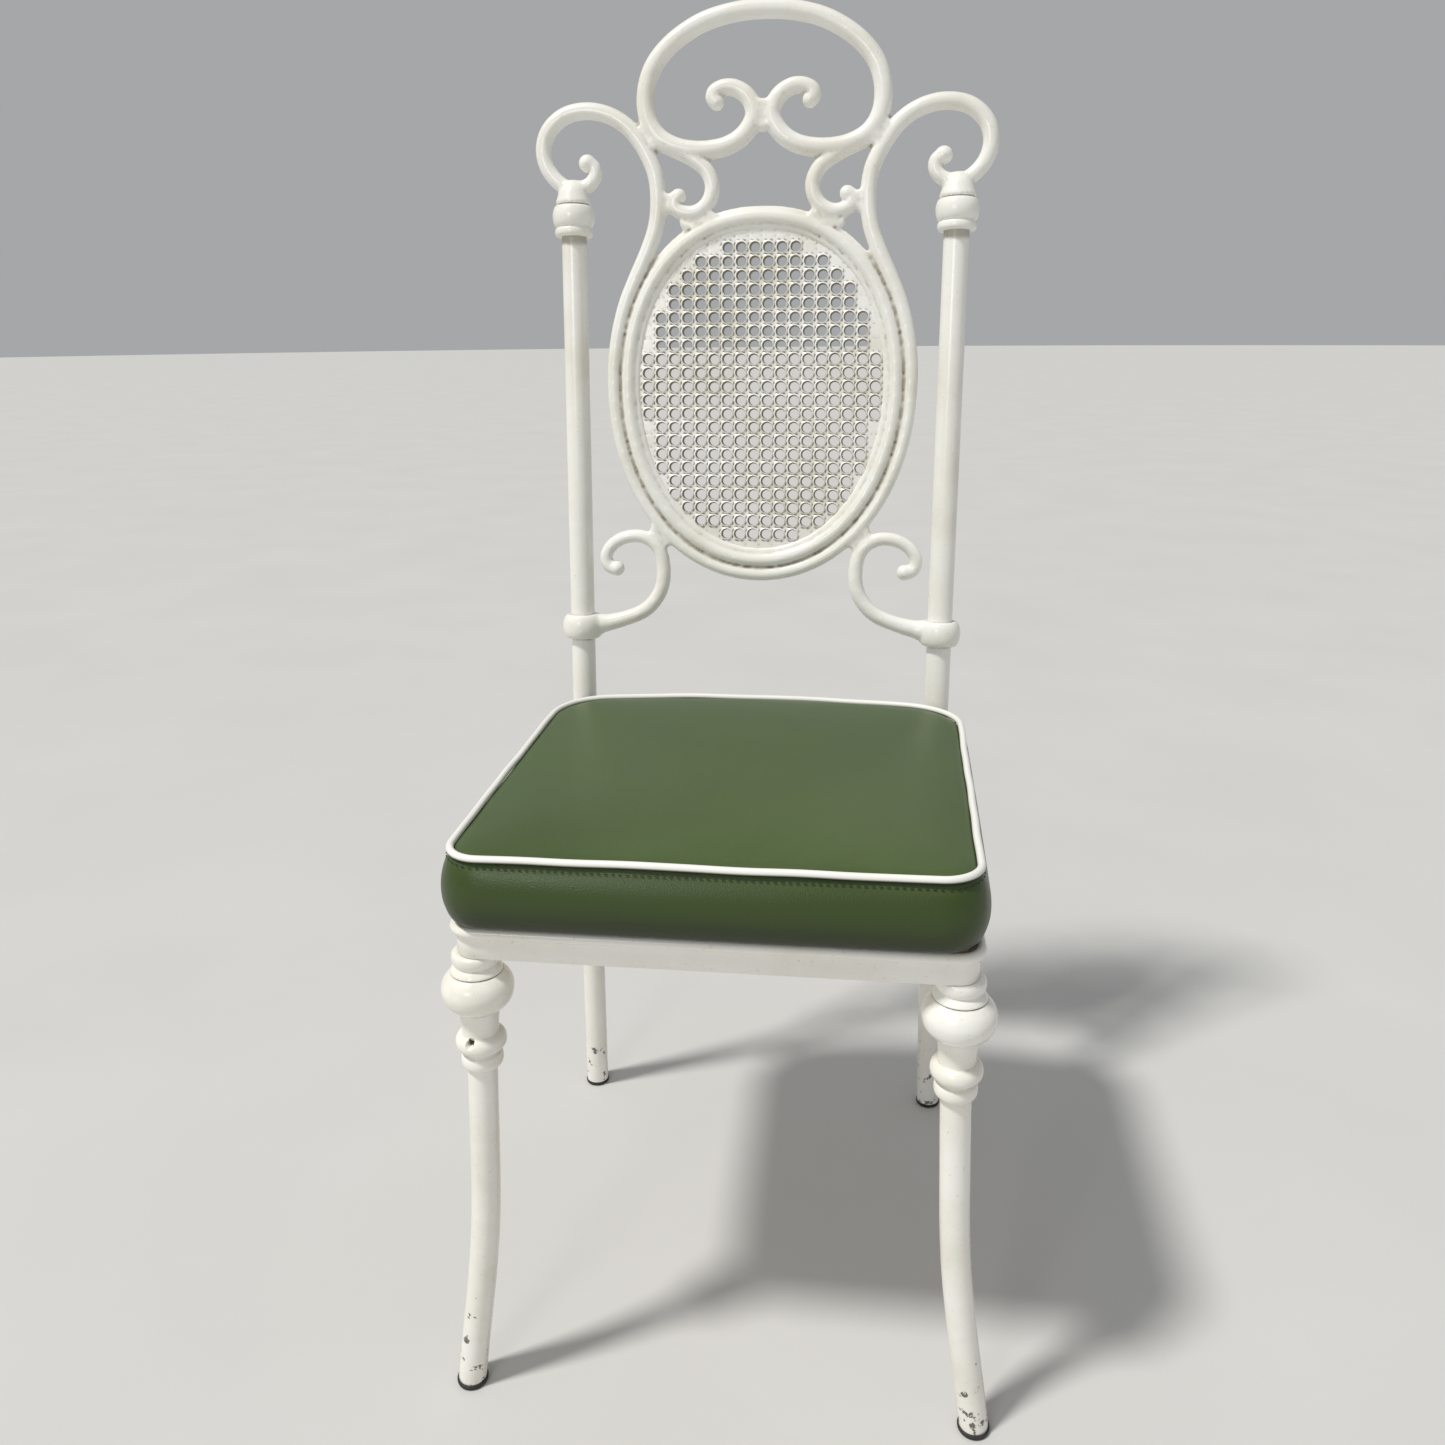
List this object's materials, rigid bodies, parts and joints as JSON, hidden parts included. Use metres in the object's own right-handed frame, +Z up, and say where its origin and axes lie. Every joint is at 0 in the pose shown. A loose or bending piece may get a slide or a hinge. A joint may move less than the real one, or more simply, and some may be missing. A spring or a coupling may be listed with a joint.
{
  "type": "ornamental dining chair",
  "caption": "Painted metal side chair with a scrolled cast back, oval cane-pattern panel, turned front legs and a piped box cushion",
  "frame": {"origin": "on the floor under the middle of the chair's bounding box", "axes": "+Z up, +X to the viewer's right from the front, the sitter faces -Y"},
  "size_m": [0.4206, 0.4606, 1.0983],
  "materials": {
    "enamel": "warm white gloss enamel, worn",
    "vinyl": "green vinyl with fine grain, semi-gloss",
    "piping": "white vinyl piping",
    "steel": "plain zinc-plated",
    "plywood": "bare plywood",
    "foam": "open foam",
    "rubber": "black, matt"
  },
  "bodies": {
    "root": {"back_casting": "enamel", "cane_panel": "enamel", "seat_frame": "enamel", "left_post": "enamel", "left_ferrule": "enamel", "left_post_spacer": "enamel", "left_front_corner_plate": "enamel", "left_rear_corner_plate": "enamel", "left_front_leg_tube": "enamel", "left_leg_collar": "enamel", "left_leg_ball": "enamel", "left_leg_cup": "enamel", "left_leg_ring": "enamel", "left_cap_stud": "steel", "left_eye_screw": "steel", "left_post_bolt": "steel", "left_leg_plug": "steel", "left_leg_bolt": "steel", "left_board_screw": "steel", "left_front_glide": "rubber", "left_rear_glide": "rubber", "right_post": "enamel", "right_ferrule": "enamel", "right_post_spacer": "enamel", "right_front_corner_plate": "enamel", "right_rear_corner_plate": "enamel", "right_front_leg_tube": "enamel", "right_leg_collar": "enamel", "right_leg_ball": "enamel", "right_leg_cup": "enamel", "right_leg_ring": "enamel", "right_cap_stud": "steel", "right_eye_screw": "steel", "right_post_bolt": "steel", "right_leg_plug": "steel", "right_leg_bolt": "steel", "right_board_screw": "steel", "right_front_glide": "rubber", "right_rear_glide": "rubber", "front_board_screw": "steel", "rear_board_screw": "steel", "seat_board": "plywood", "seat_foam": "foam", "seat_cover": "vinyl", "seat_piping": "piping"}
  },
  "joints": []
}
